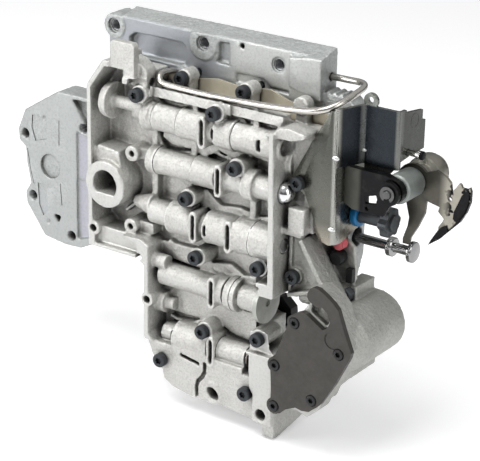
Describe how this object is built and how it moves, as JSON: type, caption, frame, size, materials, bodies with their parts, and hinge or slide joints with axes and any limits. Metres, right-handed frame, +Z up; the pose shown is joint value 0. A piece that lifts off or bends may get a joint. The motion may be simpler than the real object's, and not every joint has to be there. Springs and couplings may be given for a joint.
{
  "type": "automatic transmission valve body",
  "caption": "Cast aluminium hydraulic control block of an automatic gearbox, with spool valve bores, separator plate, transfer plate, accumulator, feed tube and shift levers",
  "frame": {"origin": "on the rear face of the transfer plate, which is bolted to the gearbox case", "axes": "+X right along the valve bores, +Y back into the gearbox case, +Z up as pictured"},
  "size_m": [0.3957, 0.0992, 0.2814],
  "materials": {
    "main_cast": "cast, softly blasted",
    "separator_steel": "stamped, bronze tint",
    "transfer_cast": "die cast with milled faces",
    "accumulator_cast": "cast",
    "cover_anodised": "dark anodised, satin",
    "piston_alloy": "turned",
    "spring_steel": "drawn wire",
    "tube_steel": "drawn tube",
    "bracket_steel": "dark plated sheet",
    "support_steel": "black phosphated",
    "line_screw_dark": "dark plated",
    "collar_blue": "blue",
    "stop_screw_steel": "plated",
    "manual_valve_steel": "ground",
    "shaft_steel": "plated, oily",
    "lever_steel": "stamped",
    "pad_black": "black",
    "bush_steel": "plated",
    "ring_steel": "spring steel",
    "end_cover_zinc": "zinc grey",
    "plug_alloy": "turned",
    "bright_plug": "polished",
    "pink_plastic": "pink red",
    "black_plastic": "black",
    "spool_steel": "ground",
    "screw_black": "black oxide"
  },
  "bodies": {
    "valve_body": {"valve_body_casting": "main_cast", "separator_plate": "separator_steel", "transfer_plate": "transfer_cast", "accumulator_housing": "accumulator_cast", "accumulator_cover": "cover_anodised", "accumulator_spring": "spring_steel", "boost_tube": "tube_steel", "adjuster_bracket": "bracket_steel", "shaft_support": "support_steel", "adjuster_collar": "collar_blue", "bore_end_cover": "end_cover_zinc", "bore_plug_1": "plug_alloy", "bore_plug_2": "bright_plug", "bore_plug_3": "plug_alloy", "snap_ring": "ring_steel", "pink_plug": "pink_plastic", "dark_plug": "black_plastic", "terminal_block": "black_plastic", "black_stop_disc": "black_plastic", "valve_spring_1": "spring_steel", "valve_spring_2": "spring_steel", "valve_spring_3": "spring_steel", "valve_spring_4": "spring_steel", "valve_spring_5": "spring_steel", "front_screw_01": "screw_black", "front_screw_02": "screw_black", "front_screw_03": "screw_black", "front_screw_04": "screw_black", "front_screw_05": "screw_black", "front_screw_06": "screw_black", "front_screw_07": "screw_black", "front_screw_08": "screw_black", "front_screw_09": "screw_black", "front_screw_10": "screw_black", "front_screw_11": "screw_black", "front_screw_12": "screw_black", "side_screw_1": "screw_black", "side_screw_2": "screw_black", "cover_screw_1": "screw_black", "cover_screw_2": "screw_black", "cover_screw_3": "screw_black", "cover_screw_4": "screw_black", "cover_screw_5": "screw_black"},
    "manual_lever": {"manual_shaft": "shaft_steel", "manual_lever": "lever_steel", "contact_pad_upper": "pad_black", "contact_pad_lower": "pad_black", "shaft_bush": "bush_steel"},
    "manual_valve": {"manual_valve": "manual_valve_steel"},
    "throttle_lever": {"throttle_shaft": "shaft_steel", "throttle_lever": "support_steel", "retaining_clip": "ring_steel"},
    "line_pressure_screw": {"line_pressure_screw": "line_screw_dark"},
    "throttle_stop_screw": {"throttle_stop_screw": "stop_screw_steel"},
    "accumulator_piston": {"accumulator_piston": "piston_alloy"},
    "spool_1": {"spool_valve_1": "spool_steel"},
    "spool_2": {"spool_valve_2": "spool_steel"},
    "spool_3": {"spool_valve_3": "spool_steel"},
    "spool_4": {"spool_valve_4": "spool_steel"},
    "spool_5": {"spool_valve_5": "spool_steel"}
  },
  "joints": [
    {"name": "manual_lever_turn", "type": "hinge", "parent": "valve_body", "child": "manual_lever", "pos_m": [0.1485, -0.02, 0.032], "axis": [0, 1, 0], "range_deg": [-12, 12]},
    {"name": "manual_valve_slide", "type": "slide", "parent": "valve_body", "child": "manual_valve", "axis": [1, 0, 0], "range_m": [-0.012, 0.012]},
    {"name": "throttle_lever_turn", "type": "hinge", "parent": "valve_body", "child": "throttle_lever", "pos_m": [0.1485, -0.02, 0.032], "axis": [0, 1, 0], "range_deg": [-15, 15]},
    {"name": "line_screw_turn", "type": "hinge", "parent": "valve_body", "child": "line_pressure_screw", "pos_m": [0.12, -0.0225, 0.003], "axis": [1, 0, 0], "range_deg": [-180, 180]},
    {"name": "stop_screw_turn", "type": "hinge", "parent": "valve_body", "child": "throttle_stop_screw", "pos_m": [0.146, -0.016, 0.054], "axis": [1, 0, 0], "range_deg": [-180, 180]},
    {"name": "accumulator_slide", "type": "slide", "parent": "valve_body", "child": "accumulator_piston", "axis": [0, 1, 0], "range_m": [-0.004, 0.01], "stiffness_N_per_m": 600, "deforming": ["accumulator_spring"]},
    {"name": "spool_1_slide", "type": "slide", "parent": "valve_body", "child": "spool_1", "axis": [1, 0, 0], "range_m": [-0.005, 0], "stiffness_N_per_m": 300, "springref_m": 0.003, "deforming": ["valve_spring_1"]},
    {"name": "spool_2_slide", "type": "slide", "parent": "valve_body", "child": "spool_2", "axis": [1, 0, 0], "range_m": [-0.005, 0], "stiffness_N_per_m": 300, "springref_m": 0.003, "deforming": ["valve_spring_2"]},
    {"name": "spool_3_slide", "type": "slide", "parent": "valve_body", "child": "spool_3", "axis": [1, 0, 0], "range_m": [-0.005, 0], "stiffness_N_per_m": 300, "springref_m": 0.003, "deforming": ["valve_spring_3"]},
    {"name": "spool_4_slide", "type": "slide", "parent": "valve_body", "child": "spool_4", "axis": [1, 0, 0], "range_m": [-0.005, 0], "stiffness_N_per_m": 300, "springref_m": 0.003, "deforming": ["valve_spring_4"]},
    {"name": "spool_5_slide", "type": "slide", "parent": "valve_body", "child": "spool_5", "axis": [1, 0, 0], "range_m": [-0.005, 0], "stiffness_N_per_m": 300, "springref_m": 0.003, "deforming": ["valve_spring_5"]}
  ],
  "couplings": [
    {"joint": "manual_valve_slide", "follows": "manual_lever_turn", "m_per_rad": -0.052}
  ]
}
